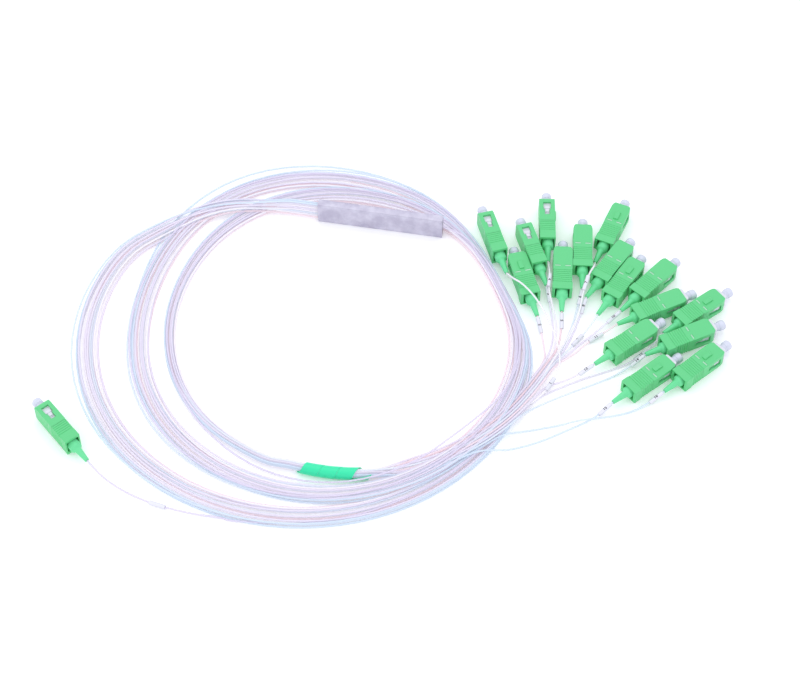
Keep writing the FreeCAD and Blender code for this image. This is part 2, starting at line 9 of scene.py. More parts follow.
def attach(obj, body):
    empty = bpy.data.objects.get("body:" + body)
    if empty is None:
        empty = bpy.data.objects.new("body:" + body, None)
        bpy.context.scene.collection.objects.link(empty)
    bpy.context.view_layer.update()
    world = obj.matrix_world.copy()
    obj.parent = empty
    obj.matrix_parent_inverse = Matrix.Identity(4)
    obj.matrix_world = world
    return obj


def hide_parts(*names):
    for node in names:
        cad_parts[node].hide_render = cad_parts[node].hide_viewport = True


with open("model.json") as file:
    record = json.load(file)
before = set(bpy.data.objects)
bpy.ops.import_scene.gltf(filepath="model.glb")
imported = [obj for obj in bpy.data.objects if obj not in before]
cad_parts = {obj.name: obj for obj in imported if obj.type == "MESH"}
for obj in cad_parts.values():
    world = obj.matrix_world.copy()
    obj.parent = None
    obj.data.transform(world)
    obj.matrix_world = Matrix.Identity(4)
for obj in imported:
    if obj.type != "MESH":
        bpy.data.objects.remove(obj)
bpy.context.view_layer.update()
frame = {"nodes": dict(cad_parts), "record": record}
nodes = frame["nodes"]

# ---- Table, light and camera ----
# The splitter lies on a table lit from below, in a light tent. The camera looks down on it from the front,
# a little to the right of the module, with a long lens that keeps the coil nearly undistorted.
TABLE_SIZE = 6.0
TABLE_GLOW = 0.12
TABLE_DROP = 0.00005
TENT_STRENGTH = 1.05
VIEW_TARGET = Vector((0.02196, -0.07097, 0.0))
VIEW_POINT = Vector((0.1198, -0.6258, 0.7526))
LENS = 92.6
SENSOR = 36.0
SMOOTH_ANGLE = math.radians(35)


def linear(hex_colour):
    """Linear RGBA from an sRGB hex colour."""
    channels = [int(hex_colour[i:i + 2], 16) / 255 for i in (1, 3, 5)]
    return [c / 12.92 if c <= 0.04045 else ((c + 0.055) / 1.055) ** 2.4 for c in channels] + [1.0]


def add_node(tree, kind, settings=(), links=()):
    """One shader node: settings are its properties and input values, links are (input, output) pairs."""
    made = tree.nodes.new(kind)
    for name, value in dict(settings).items():
        if name in made.inputs:
            made.inputs[name].default_value = value
        else:
            setattr(made, name, value)
    for name, socket in links:
        tree.links.new(socket, made.inputs[name])
    return made


def new_material(name, colour, roughness, **settings):
    """A Principled material, its tree and its shader."""
    material = bpy.data.materials.new(name)
    material.use_nodes = True
    material.diffuse_color = linear(colour)
    tree = material.node_tree
    shader = tree.nodes["Principled BSDF"]
    shader.inputs["Base Color"].default_value = linear(colour)
    shader.inputs["Roughness"].default_value = roughness
    for name, value in settings.items():
        shader.inputs[name.replace("_", " ")].default_value = value
    return material, tree, shader


def mesh_object(name, shape, material):
    """Object from a bmesh, at the origin, with outward normals and smooth round faces."""
    bmesh.ops.recalc_face_normals(shape, faces=shape.faces[:])
    mesh = bpy.data.meshes.new(name)
    shape.to_mesh(mesh)
    shape.free()
    mesh.shade_smooth()
    mesh.set_sharp_from_angle(angle=SMOOTH_ANGLE)
    mesh.materials.append(material)
    made = bpy.data.objects.new(name, mesh)
    bpy.context.scene.collection.objects.link(made)
    return made


table_white, tree, shader = new_material("opal_acrylic_light_table", "#FFFFFF", 0.8)
shader.inputs["Emission Color"].default_value = linear("#FFFFFF")
shader.inputs["Emission Strength"].default_value = TABLE_GLOW
table_shape = bmesh.new()
bmesh.ops.create_grid(table_shape, x_segments=1, y_segments=1, size=TABLE_SIZE / 2)
table = mesh_object("table", table_shape, table_white)
table.location.z = -TABLE_DROP

bpy.context.scene.view_settings.view_transform = "Standard"
world = bpy.data.worlds.new("light_tent")
world.use_nodes = True
background = world.node_tree.nodes["Background"]
background.inputs["Color"].default_value = linear("#F6F7FF")
background.inputs["Strength"].default_value = TENT_STRENGTH
bpy.context.scene.world = world


def softbox(name, place, size, power):
    """Square area light that faces the coil."""
    lamp = bpy.data.lights.new(name, "AREA")
    lamp.size = size
    lamp.energy = power
    made = bpy.data.objects.new(name, lamp)
    made.location = place
    made.rotation_euler = (VIEW_TARGET - Vector(place)).to_track_quat("-Z", "Y").to_euler()
    bpy.context.scene.collection.objects.link(made)


softbox("overhead_softbox", (-0.1, 0.25, 0.95), 0.9, 1.6)
softbox("left_softbox", (-0.9, -0.25, 0.7), 0.6, 0.8)

camera_data = bpy.data.cameras.new("camera")
camera_data.lens = LENS
camera_data.sensor_width = SENSOR
camera_data.clip_end = 20.0
camera = bpy.data.objects.new("camera", camera_data)
camera.location = VIEW_POINT
camera.rotation_euler = (VIEW_TARGET - VIEW_POINT).to_track_quat("-Z", "Y").to_euler()
bpy.context.scene.collection.objects.link(camera)
bpy.context.scene.camera = camera

# ---- Splitter module ----
# A length of drawn stainless steel tube, flattened to a rounded rectangle, with the waveguide chip
# potted inside it. The steel is matt, and cloudy with stains from handling.
DRAWING_GRAIN = 0.00025
GRAIN_STRETCH = 0.05
GRAIN_DEPTH = 0.00003
STAIN_SIZE = 0.006
# Where the stains begin and end in their noise, with the colours there.
STAIN_COLOURS = [(0.38, "#B9B5C7"), (0.66, "#D3D0DE")]


def finish_node(name, material):
    """Give a CAD node its material."""
    nodes[name].data.materials.clear()
    nodes[name].data.materials.append(material)


steel, tree, shader = new_material("drawn_stainless_steel", "#CFCBDA", 0.4, Metallic=0.85)
place = add_node(tree, "ShaderNodeTexCoord").outputs["Object"]
along = add_node(tree, "ShaderNodeMapping", {"Scale": (GRAIN_STRETCH, 1, 1)}, [("Vector", place)])
grain = add_node(tree, "ShaderNodeTexNoise", {"Scale": 1 / DRAWING_GRAIN, "Detail": 2.0},
                 [("Vector", along.outputs["Vector"])])
stain = add_node(tree, "ShaderNodeTexNoise", {"Scale": 1 / STAIN_SIZE, "Detail": 4.0, "Roughness": 0.6},
                 [("Vector", place)])
tint = add_node(tree, "ShaderNodeValToRGB", (), [("Fac", stain.outputs["Fac"])])
for stop, (position, colour) in zip(tint.color_ramp.elements, STAIN_COLOURS):
    stop.position = position
    stop.color = linear(colour)
tree.links.new(tint.outputs["Color"], shader.inputs["Base Color"])
gloss = add_node(tree, "ShaderNodeMapRange", {"To Min": 0.32, "To Max": 0.52},
                 [("Value", stain.outputs["Fac"])])
tree.links.new(gloss.outputs["Result"], shader.inputs["Roughness"])
bump = add_node(tree, "ShaderNodeBump", {"Strength": 0.25, "Distance": GRAIN_DEPTH},
                [("Height", grain.outputs["Fac"])])
tree.links.new(bump.outputs["Normal"], shader.inputs["Normal"])
finish_node("splitter_tube", steel)

finish_node("optical_core", new_material("potting_epoxy", "#8E8C98", 0.3)[0])

# ---- Fibre leads ----
# Each lead is a loose plastic tube, nearly clear, round one glass fibre. The sixteen outputs leave
# the module's left end as a flat ribbon, go round the coil together, and part again at the stem.
# The input leaves the right end and goes round the other way.
MM = 0.001
TUBE = 0.9
MODULE_END = 30.0
MODULE_MIDDLE_HEIGHT = 6
RIBBON_ROW_PITCH = 1.3
RIBBON_COLUMN_PITCH = 1.05
RIBBON_ROWS = 8
RIBBON_STRAIGHT = 7.0
LAYERS = 3
LAYER_RISE = 0.78
FLOOR_GAP = 0.04
POINTS_PER_TURN = 16
# Leads from the inner side of the coil to its outer side.
STRAND_ORDER = ["02", "03", "04", "05", "06", "08", "07", "09",
                "10", "11", "01", "12", "13", "14", "16", "15"]
# Their places across the bundle, in loose groups.
STRAND_PLACES = [-1.0, -0.93, -0.86, -0.56, -0.48, -0.4, -0.1, -0.02,
                 0.06, 0.14, 0.44, 0.52, 0.6, 0.86, 0.93, 1.0]
# Laps: centre, half axes and width of the bundle. The leads pass from one to the next over the
# angles that follow, and where the laps meet they lie on each other at these heights.
LAPS = [(-21.5, -72.0, 100.5, 97.0, 12.5), (-11.0, -69.5, 87.5, 86.0, 10.5), (-5.0, -66.0, 80.0, 78.0, 6.0)]
LAP_CHANGES = [(452.0, 545.0), (815.0, 902.0)]
LAP_LEVELS = [0.0, 2.1, 3.8]
# The laps meet round this angle, and lie apart again between these distances from it.
MEETING_ANGLE = -5
MEETING_FADE = (40, 80)
# Two plugs and the module's right end lie against the coil, which is squeezed to pass them: half
# width, the lengths over which the bundle closes in and opens again, and how far in it gives way.
PLUGS_BESIDE_COIL = {
    "01": (3.7, (-52.0, -35.0), (5.0, 20.0), 10.0),
    "02": (4.5, (-50.0, -30.0), (0.0, 14.0), 8.0),
}
MODULE_SIDE = (2.0, (-60.0, -30.0), (34.0, 50.0), 4.0)
LEAD_CLEARANCE = 0.9
# The ribbon sinks and fans out on its way to the outer lap: x, y, heading, width, lowest, highest.
RIBBON_STATIONS = [
    (-44.0, 0.0, 180.0, 1.1, 1.45, 10.55),
    (-53.0, -0.2, 182.0, 2.4, 1.9, 8.8),
    (-62.0, -1.0, 187.0, 4.6, 2.8, 7.4),
    (-71.5, -2.8, 195.0, 6.8, 3.0, 6.2),
    (-81.0, -6.2, 205.0, 9.0, 2.8, 4.9),
    (-90.5, -11.9, 215.0, 10.8, 1.6, 3.4),
    (-99.0, -19.2, 224.0, 11.8, 0.6, 2.3),
]
# Outer leads that stray from the bundle: angle of the middle of the stray, its span and its reach.
STRAYS = {15: [(478.0, 75.0, 0.8)], 14: [(205.0, 60.0, 0.3)], 0: [(520.0, 60.0, -0.3)],
          13: [(590.0, 60.0, 0.45)]}
# How far a lead gets from the middle, how wide the bundle is with its swelling, and how much a lead,
# its group of three and its layer drift in it.
EDGE_LIMIT = 1.3
SPREAD = (0.84, 0.2)
OWN_DRIFT = 0.08
GROUP_DRIFT = 0.13
LAYER_DRIFT = 0.18
FIRST_ANGLE = 160.0
LAST_ANGLE = 975.0
GATHERING = 50
# Inside the wrap the leads lie in a round bundle, four columns of three to five: x, y, heading.
WRAP_STATIONS = [(-15.5, -142.6, -5.5), (-8.0, -143.4, -4.0), (1.0, -143.9, 0.0), (10.0, -143.4, 6.0),
                 (18.0, -142.1, 11.0), (24.5, -140.6, 14.0)]
WRAP_HEIGHT = 2.8
BUNDLE_PITCH = 0.92
BUNDLE_MIDDLES = [3, 2, 2, 1]
# The stem crosses the outer laps on its way to the plugs: x, y, heading, height.
STEM_STATIONS = [
    (37.0, -134.8, 23.0, 1.0),
    (50.5, -128.0, 34.0, 2.3),
    (62.5, -118.6, 46.0, 3.2),
    (71.0, -109.0, 54.0, 3.2),
    (77.3, -99.5, 60.0, 2.9),
    (82.3, -88.7, 66.0, 2.0),
    (86.6, -77.6, 68.0, 1.0),
    (90.5, -67.0, 68.0, 0.6),
]
STEM_PITCH = 0.62
STEM_RISE = 1.05
STEM_SHIFT = 1.86
# How many of the stem's stations a lead passes before it leaves the bundle.
STEM_LEAVERS = {"15": 3, "16": 4, "14": 5, "13": 5, "01": 5, "12": 6}
HIGH_LEVEL = 2.7
# Free runs from the stem to the plugs, without the boots' tips, where they end.
TAILS = {
    "01": [(82.5, -94, 2.2), (86.9, -89.6, 2.1), (90.4, -84.2, 2.0), (93.9, -75.4, 2.4),
           (95.2, -67.2, 3.4), (93.0, -58.8, 3.9), (88.8, -50.2, 5.6), (82.7, -40.6, 7.8),
           (76.8, -34.0, 8.9), (71.2, -29.4, 9.3), (67, -26.2, 7.4)],
    "02": [(87.3, -60.8, 0.5), (84.6, -51.6, 1.0)],
    "03": [(89.6, -59.6, 0.6), (90, -51.6, 0.5), (88.6, -44.2, 0.6), (86.2, -34.6, 2.0)],
    "04": [(91.5, -59, 0.5), (91.2, -50, 0.5), (90, -42.6, 0.8), (87.4, -36, 3.6), (84.3, -29, 6.6),
           (84.05, -18.8, 6.3)],
    "05": [(92.7, -59.2, 0.5), (93.4, -49, 1.4)],
    "06": [(94, -60.5, 0.5), (96.2, -52, 0.5), (97.9, -43.2, 0.6), (98.9, -33.8, 1.8)],
    "07": [(93.6, -62, 2.6), (95.7, -55.4, 2.4), (97.7, -47.8, 2.4), (99.4, -41.8, 2.7),
           (100.2, -35.6, 3.9), (100.4, -28.4, 6.7), (101.9, -19.2, 9.7), (103.85, -13.6, 9.35),
           (103.75, -9.9, 5.3)],
    "08": [(95.4, -60.6, 0.5), (98.4, -50, 0.5), (100.7, -39.2, 1.2)],
    "09": [(95.2, -62.6, 1.0), (99.1, -55.8, 1.0), (103.3, -48.4, 1.1), (106.4, -42.8, 2.2)],
    "10": [(98.2, -60.2, 0.5), (104.4, -51.2, 0.5), (112, -42.2, 1.3)],
    "11": [(99.8, -61.2, 0.6), (105.6, -52.8, 1.0), (113, -46.2, 1.8)],
    "12": [(90, -80.4, 0.5), (97, -76.4, 0.5), (103.8, -72.4, 1.8)],
    "13": [(85.6, -89, 0.5), (92, -83.4, 0.5), (100, -77.4, 0.5), (108.5, -71.8, 0.5),
           (117.5, -66.6, 0.5), (126.4, -60.8, 1.0), (134.6, -51, 1.3)],
    "14": [(83.5, -95.4, 0.5), (92, -88.6, 0.5), (101.5, -81.8, 0.5), (110.5, -75.8, 0.5),
           (119, -70, 0.5), (126, -63.8, 1.4)],
    "15": [(76.5, -118, 0.5), (85.5, -114.2, 0.5), (94.5, -108.6, 0.5), (102.8, -102.2, 0.5),
           (109.8, -97.2, 0.5), (115.2, -92.6, 1.2)],
    "16": [(81.5, -107.2, 0.5), (90.5, -103.8, 0.5), (99.5, -100.2, 0.7), (108, -96.8, 2.1),
           (116.5, -94, 1.6), (124, -90.4, 0.6), (130.4, -87.2, 0.5), (136.6, -82.2, 1.2)],
    "in": [(-37, -173.4, 0.6), (-49, -174, 0.8), (-61, -173.2, 1.0), (-72.5, -171.2, 1.0),
           (-82.5, -168, 0.9), (-90.5, -164.6, 1.6), (-96.4, -161.2, 3.0)],
}
INPUT_LEAD = [(30.0, 0.0, 6.0), (38.0, -1.0, 5.2), (46.0, -7.0, 4.6), (53.5, -15.5, 4.6)]
INPUT_START = 1108.0
INPUT_END = 263.0
INPUT_LEAVING = 60
# Its place across the bundle with its drift there, and its height, on the laps and where it leaves.
INPUT_ACROSS = (0.35, 0.6)
INPUT_RISE = 2.9
INPUT_END_ACROSS = 0.72
INPUT_END_RISE = 0.6
# The input goes over the stem and round the wrap: place across the lap and height, by point of its route.
INPUT_DETOUR = {3: (-0.4, 4.4), 4: (1.35, 4.4), 5: (1.85, 2.0), 6: (1.7, 0.8), 7: (1.0, 2.6)}
# Colours of the tubes: milky white with a cast of the fibre's coating inside.
TUBE_TINTS = {
    "lilac": "#EEE8F6", "white": "#F9F6FC", "pink": "#F8E7ED", "blue": "#E4EDF8", "grey": "#E9E5F0",
    "rose": "#F5DDE3", "pale_blue": "#ECF1FA", "deep_lilac": "#E4DDEF", "sky": "#DDEAF7",
}
TINT_ORDER = ["pink", "lilac", "white", "rose", "blue", "lilac", "white", "pale_blue", "lilac", "pink",
              "white", "lilac", "grey", "blue", "sky", "sky", "deep_lilac"]
# Painted glow that lightens the clear tubes in place of light passed on between them, and painted shade:
# how much darker their colour is towards their outlines.
TUBE_ALPHA = 0.68
TUBE_PAINTED_GLOW = 0.13
TUBE_EDGE_SHADE = 0.72
BOOT_REACH = 35.6

mounts = {mount["name"]: mount for mount in frame["record"]["mounts"]}
plug_names = [name[len("connector_"):] for name in mounts if name.startswith("connector_")]
neighbours = [(Vector((0.0, 0.0)), Vector((1.0, 0.0)), *MODULE_SIDE)]
for name, side in PLUGS_BESIDE_COIL.items():
    mount = mounts["connector_" + name]
    neighbours.append((Vector(mount["pos_m"][:2]) / MM, Vector(mount["axis"][:2]).normalized(), *side))


def ease(value, low, high):
    """0 before low, 1 after high, and smooth between them."""
    t = min(max((value - low) / (high - low), 0.0), 1.0)
    return t * t * (3 - 2 * t)


def beside(place, middle, forward, half, rear, front, reach):
    """The point moved sideways, so that the bundle is squeezed where it passes the side of something."""
    inward = Vector((-forward.y, forward.x))
    along, aside = (place - middle).dot(forward), (place - middle).dot(inward)
    edge = half + LEAD_CLEARANCE
    if aside < edge - 3 * reach or aside > edge + reach:
        return place
    near = ease(along, *rear) * (1 - ease(along, *front))
    return place + inward * (near * (edge + max(aside - edge + reach, 0.0) / 2 - aside))


def lap_place(angle, across, rise):
    """Point on the coil at an angle: across runs from -1, inner side, to 1, outer side of the bundle."""
    shares = [1.0, 0.0, 0.0]
    for i, (start, end) in enumerate(LAP_CHANGES):
        part = ease(angle, start, end)
        shares[i + 1] = shares[i] * part
        shares[i] *= 1 - part
    x, y, a, b, width = (sum(share * lap[k] for share, lap in zip(shares, LAPS)) for k in range(5))
    grow = 1 / (0.75 + 0.25 * math.cos(2 * math.pi / POINTS_PER_TURN))
    turn = math.radians(angle)
    outward = across * width / 2
    from_meeting = abs((angle - MEETING_ANGLE + 180) % 360 - 180)
    level = sum(share * level for share, level in zip(shares, LAP_LEVELS))
    stack = (1 - ease(from_meeting, *MEETING_FADE)) * level
    place = Vector((x + (a + outward) * grow * math.cos(turn), y + (b + outward) * grow * math.sin(turn)))
    for neighbour in neighbours:
        place = beside(place, *neighbour)
    return (place.x, place.y, rise + stack)


def wander(angle, seed):
    """Slow drift between -1 and 1 of something loose along the coil."""
    turn = math.radians(angle)
    return 0.55 * math.sin(0.83 * turn + 2.1 * seed) + 0.45 * math.sin(1.61 * turn + 1.3 + 3.7 * seed)


def boot_tip(name):
    """Where the lead goes into its plug's boot, in millimetres."""
    mount = mounts["connector_" + name]
    place = Vector(mount["pos_m"]) - Vector(mount["axis"]) * (BOOT_REACH * MM)
    return tuple(value / MM for value in place)


def ribbon_points(index):
    """From the module's left end to the outer lap."""
    row, column = divmod(index, 2)
    height = MODULE_MIDDLE_HEIGHT + (row - (RIBBON_ROWS - 1) / 2) * RIBBON_ROW_PITCH
    side = (column - 0.5) * RIBBON_COLUMN_PITCH
    points = [(-MODULE_END, side, height), (-MODULE_END - RIBBON_STRAIGHT, side, height)]
    for i, (x, y, heading, width, low, high) in enumerate(RIBBON_STATIONS):
        turn = math.radians(heading)
        late = i / (len(RIBBON_STATIONS) - 1)
        across = (1 - late) * (2 * column - 1) + late * strand_across(index, FIRST_ANGLE)
        lift = (1 - late) * row / (RIBBON_ROWS - 1) + late * (index % LAYERS) / (LAYERS - 1)
        reach = across * width / 2
        points.append((x + reach * math.sin(turn), y - reach * math.cos(turn), low + lift * (high - low)))
    return points


def strand_across(index, angle):
    """Where a lead lies across the bundle: leads of one layer keep their order, and layers drift apart."""
    layer = index % LAYERS
    start = STRAND_PLACES[index]
    spread = SPREAD[0] + SPREAD[1] * wander(angle, layer + 5)
    own = OWN_DRIFT * wander(1.7 * angle, index + 9) + GROUP_DRIFT * wander(1.3 * angle, index // 3 + 31)
    across = start * spread + own + LAYER_DRIFT * wander(angle, layer)
    stray = sum(reach * (1 - ease(abs(angle - middle), 0, span))
                for middle, span, reach in STRAYS.get(index, ()))
    return EDGE_LIMIT * math.tanh(across / EDGE_LIMIT) + stray


def bundled(index):
    """Where a lead lies in the round bundle, sideways and up from its middle."""
    column, row = divmod(index + 2, 5)
    return (column - 1.5) * BUNDLE_PITCH, (row - BUNDLE_MIDDLES[column]) * BUNDLE_PITCH


def coil_points(index):
    """Round the laps in layers, and into the round bundle at the end."""
    points = []
    count = round((LAST_ANGLE - FIRST_ANGLE) / 360 * POINTS_PER_TURN)
    for i in range(count + 1):
        angle = FIRST_ANGLE + i * (LAST_ANGLE - FIRST_ANGLE) / count
        together = ease(angle, LAST_ANGLE - GATHERING, LAST_ANGLE)
        aside, up = bundled(index)
        across = strand_across(index, angle) * (1 - together) + aside / (LAPS[-1][4] / 2) * together
        rise = TUBE / 2 + FLOOR_GAP + index % LAYERS * LAYER_RISE
        points.append(lap_place(angle, across, rise * (1 - together) + (up + WRAP_HEIGHT) * together))
    return points


def wrap_points(index):
    """Along the bundle inside the wrap."""
    aside, up = bundled(index)
    return [(x + aside * math.sin(math.radians(heading)), y - aside * math.cos(math.radians(heading)),
             WRAP_HEIGHT + up) for x, y, heading in WRAP_STATIONS]


def stem_points(name, index):
    """Along the stem in two layers, side by side, as far as the lead stays in it."""
    points = []
    end = len(STEM_STATIONS) - 1
    for i, (x, y, heading, height) in enumerate(STEM_STATIONS[:STEM_LEAVERS.get(name, end + 1)]):
        turn = math.radians(heading)
        shift = (index - 7.5) * STEM_PITCH + STEM_SHIFT * ease(i, 2, end)
        level = HIGH_LEVEL if name == "07" and i == end else height + index % 2 * STEM_RISE
        points.append((x + shift * math.sin(turn), y - shift * math.cos(turn), level))
    return points


def output_route(name):
    """Control points of one output, in millimetres, from the module to the plug's boot."""
    index = STRAND_ORDER.index(name)
    coil = ribbon_points(index) + coil_points(index) + wrap_points(index)
    return coil + stem_points(name, index) + TAILS[name] + [boot_tip(name)]


def input_route():
    """Control points of the input: from the module's right end, clockwise round the coil."""
    points = list(INPUT_LEAD)
    count = round((INPUT_START - INPUT_END) / 360 * POINTS_PER_TURN)
    for i in range(count + 1):
        angle = INPUT_START + i * (INPUT_END - INPUT_START) / count
        leaving = ease(-angle, -INPUT_END - INPUT_LEAVING, -INPUT_END)
        lies = INPUT_ACROSS[0] + INPUT_ACROSS[1] * wander(angle, 21)
        across = lies * (1 - leaving) + INPUT_END_ACROSS * leaving
        rise = INPUT_RISE * (1 - leaving) + INPUT_END_RISE * leaving
        across, rise = INPUT_DETOUR.get(i, (across, rise))
        points.append(lap_place(angle, across, rise))
    return points + TAILS["in"] + [boot_tip("in")]


def clear_plastic(name, colour, roughness, alpha, painted_glow, edge):
    """Thin clear plastic, partly see-through, with a painted glow for light passed on between parts, and
    painted shade that darkens its colour towards its outline.
    """
    material, tree, shader = new_material(name, colour, roughness, IOR=1.3, Alpha=alpha)
    # Painted glow: the plastic's own colour is emitted, which lightens it where the tubes shade each other.
    shader.inputs["Emission Color"].default_value = linear(colour)
    shader.inputs["Emission Strength"].default_value = painted_glow
    # Painted shade: the base colour darkens towards the outline, where the surface turns away from the
    # view.
    facing = add_node(tree, "ShaderNodeLayerWeight", {"Blend": 0.4})
    painted_edge_shade = add_node(tree, "ShaderNodeValToRGB", (), [("Fac", facing.outputs["Facing"])])
    painted_edge_shade.color_ramp.elements[0].color = linear(colour)
    painted_edge_shade.color_ramp.elements[1].color = [part * edge for part in linear(colour)[:3]] + [1.0]
    tree.links.new(painted_edge_shade.outputs["Color"], shader.inputs["Base Color"])
    return material


tube_materials = {
    name: clear_plastic("milky_loose_tube_" + name, colour, 0.4, TUBE_ALPHA, TUBE_PAINTED_GLOW, TUBE_EDGE_SHADE)
    for name, colour in TUBE_TINTS.items()
}


def lead(name, points, tint):
    """Lead as one smooth spline, and the points that it follows."""
    curve = bpy.data.curves.new(name, "CURVE")
    curve.dimensions = "3D"
    spline = curve.splines.new("NURBS")
    spline.points.add(len(points) - 1)
    for control, (x, y, z) in zip(spline.points, points):
        control.co = (x * MM, y * MM, z * MM, 1.0)
    spline.order_u = 3
    spline.use_endpoint_u = True
    spline.resolution_u = 5
    made = bpy.data.objects.new(name, curve)
    bpy.context.scene.collection.objects.link(made)
    line = bpy.data.meshes.new_from_object(made)
    followed = [vertex.co.copy() for vertex in line.vertices]
    bpy.data.meshes.remove(line)
    curve.bevel_depth = TUBE / 2 * MM
    curve.bevel_resolution = 2
    curve.use_fill_caps = True
    curve.materials.append(tube_materials[tint])
    return made, followed


for index, name in enumerate(STRAND_ORDER + ["in"]):
    route = input_route() if name == "in" else output_route(name)
    piece, line = lead("lead_" + name, route, TINT_ORDER[index])
    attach(piece, "splitter")
    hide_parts("fibre_coil", "fibre_runs")

# ---- Connectors ----
# Green mouldings mark the angle-polished plugs: a hard grip slides over a white frame that holds the
# ferrule, and a rubber boot keeps the lead from kinking. A soft clear cap keeps the ferrule clean.
# The grip is moulded in a fine matt texture, the boot is duller, and the cap lets light through.
MOULD_TEXTURE = 0.00035
TURNED_STEPS = 28
GRIP_FACE = 3.7
FRAME_SIDE = 3.3
GRIP_FORWARD = 0.3
GRIP_BACK = -1.5
# A plug's roll by the height of its axis; with its key up the axis is lower still.
ROLL_BY_HEIGHT = {4.65: 90, 4.3: 180}
# Marks across the wide sides, filled with white: middle of the pair, length, width and distance apart.
MARK_PLACE = -11.4
MARK_LENGTH = 2.5
MARK_WIDTH = 0.5
MARK_OFFSET = 2.4
MARK_DEPTH = 0.3
MARK_RECESS = 0.02
LATCH_SUNK = 0.05
LATCH_BEVEL = 0.06
# Pad and rungs on the frame's narrow sides, seen through the windows: front, back, half width, height.
LATCH_STEPS = [(-4.5, -6.0, 1.55, 0.45), (-8.3, -8.65, 1.0, 0.3), (-9.0, -9.35, 1.0, 0.3),
               (-9.7, -9.95, 1.0, 0.3)]
# Profiles turned about the connector's axis, from the frame's front face: place and radius.
CAP_PROFILE = [
    (-2.5, 1.27), (-2.5, 1.9), (-2.4, 2.0), (2.25, 2.0), (2.4, 2.08), (2.5, 2.27), (2.7, 2.35), (4.5, 2.35),
    (4.95, 2.27), (5.3, 2.02), (5.52, 1.6), (5.6, 1.0), (5.6, 0.0), (4.2, 0.0), (4.2, 1.27), (-2.5, 1.27),
]
BOOT_PROFILE = [
    (-19.3, 1.73), (-19.3, 2.5), (-19.5, 2.7), (-26.9, 2.7), (-27.35, 2.55), (-27.75, 2.15), (-28.05, 1.75),
    (-28.5, 1.58), (-35.2, 1.02), (-35.5, 0.95), (-35.6, 0.8), (-35.6, 0.46), (-34.0, 0.46), (-34.0, 0.0),
    (-24.03, 0.0), (-24.03, 1.73), (-19.3, 1.73),
]


def moulded(name, colour, roughness, depth):
    """Moulded plastic with the fine texture of its mould."""
    material, tree, shader = new_material(name, colour, roughness)
    place = add_node(tree, "ShaderNodeTexCoord").outputs["Object"]
    texture = add_node(tree, "ShaderNodeTexNoise", {"Scale": 1 / MOULD_TEXTURE, "Detail": 3.0},
                       [("Vector", place)])
    relief = add_node(tree, "ShaderNodeBump", {"Strength": 0.4, "Distance": depth},
                      [("Height", texture.outputs["Fac"])])
    tree.links.new(relief.outputs["Normal"], shader.inputs["Normal"])
    return material


def connector_place(name, forward=0.0):
    """Where a connector lies: its X axis runs forward from the frame's front face."""
    mount = mounts["connector_" + name]
    height = mount["pos_m"][2] / MM
    roll = sum(turn for level, turn in ROLL_BY_HEIGHT.items() if abs(height - level) < 0.1)
    heading = math.atan2(mount["axis"][1], mount["axis"][0])
    place = Matrix.Translation(mount["pos_m"]) @ Matrix.Rotation(heading, 4, "Z")
    return place @ Matrix.Rotation(math.radians(roll), 4, "X") @ Matrix.Translation((forward * MM, 0, 0))


def add_shape(target, shape, place):
    """Put one bmesh in its place in another."""
    shape.transform(place)
    held = bpy.data.meshes.new("held")
    shape.to_mesh(held)
    shape.free()
    target.from_mesh(held)
    bpy.data.meshes.remove(held)


def turned(profile, steps=TURNED_STEPS):
    """Piece turned about the X axis from (place, radius) corners in millimetres."""
    shape = bmesh.new()
    corners = [shape.verts.new((x * MM, 0, r * MM)) for x, r in profile]
    edges = [shape.edges.new(pair) for pair in zip(corners, corners[1:])]
    bmesh.ops.spin(shape, geom=corners + edges, axis=(1, 0, 0), angle=2 * math.pi, steps=steps,
                   use_merge=True)
    bmesh.ops.remove_doubles(shape, verts=shape.verts[:], dist=1e-6)
    return shape


def block(x0, x1, y0, y1, z0, z1):
    """Box between two planes of each axis, in millimetres."""
    shape = bmesh.new()
    bmesh.ops.create_cube(shape, size=MM)
    bmesh.ops.scale(shape, vec=(x1 - x0, y1 - y0, z1 - z0), verts=shape.verts[:])
    middle = Vector((x0 + x1, y0 + y1, z0 + z1)) * (MM / 2)
    bmesh.ops.translate(shape, vec=middle, verts=shape.verts[:])
    return shape


mark_green = moulded("pale_mark_fill", "#B5E5C4", 0.5, 0.00001)
grip_green = moulded("moulded_green_pbt", "#61D085", 0.42, 0.00002)
boot_green = moulded("moulded_green_rubber", "#6EE19C", 0.6, 0.00002)
frame_white = moulded("moulded_white_pbt", "#E2E2EA", 0.4, 0.00001)
# The caps get a faint painted glow, and painted shade that darkens their colour towards their outlines.
cap_clear = clear_plastic("clear_polyethylene_cap", "#E4E8F6", 0.3, 0.85, 0.03, 0.8)
ceramic = new_material("zirconia_ceramic", "#F6F5F0", 0.12)[0]
spring_steel = new_material("spring_steel_wire", "#B8B8B8", 0.3, Metallic=1.0)[0]

